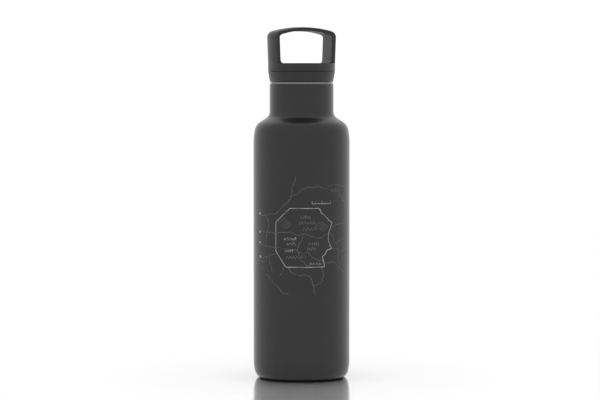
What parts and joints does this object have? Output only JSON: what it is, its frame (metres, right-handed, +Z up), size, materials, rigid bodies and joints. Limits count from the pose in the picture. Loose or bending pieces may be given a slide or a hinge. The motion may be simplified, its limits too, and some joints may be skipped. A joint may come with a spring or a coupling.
{
  "type": "insulated water bottle",
  "caption": "Tall narrow-necked vacuum-insulated steel bottle with a matt powder coat and a screw cap whose top is a carrying loop.",
  "frame": {"origin": "centre of the foot ring, on the surface the bottle stands on", "axes": "+Z up along the bottle's axis; the engraved front faces -Y; +X is to the right as the front is seen"},
  "size_m": [0.0738, 0.0738, 0.2686],
  "materials": {
    "powder_coat": "matt black powder coat",
    "bare_steel": "electropolished stainless steel",
    "cap_plastic": "matt black polypropylene",
    "plug_plastic": "black polypropylene",
    "silicone": "black silicone",
    "copper": "bright copper foil",
    "foam": "rigid foam",
    "getter_alloy": "pressed powder",
    "solder_glass": "fused glass bead"
  },
  "bodies": {
    "bottle": {"outer_shell": "powder_coat", "inner_vessel": "bare_steel", "inner_bottom": "bare_steel", "vacuum_base": "bare_steel", "solder_seal": "solder_glass", "base_cover": "powder_coat", "foot_ring": "silicone", "getter_pellet": "getter_alloy", "getter_clip": "bare_steel", "copper_foil": "copper"},
    "seal": {"mouth_gasket": "silicone"},
    "cap": {"loop_cap": "cap_plastic", "cap_collar": "cap_plastic", "threaded_plug": "plug_plastic", "plug_floor": "plug_plastic", "foam_puck": "foam"}
  },
  "joints": [
    {"name": "cap_lift", "type": "slide", "parent": "bottle", "child": "seal", "axis": [0, 0, 1], "range_m": [0, 0.0341]},
    {"name": "cap_turn", "type": "hinge", "parent": "seal", "child": "cap", "pos_m": [0, 0, 0.23], "axis": [0, 0, 1], "range_deg": [0, 1530]}
  ],
  "couplings": [
    {"joint": "cap_lift", "follows": "cap_turn", "m_per_rad": 0.0012732}
  ]
}
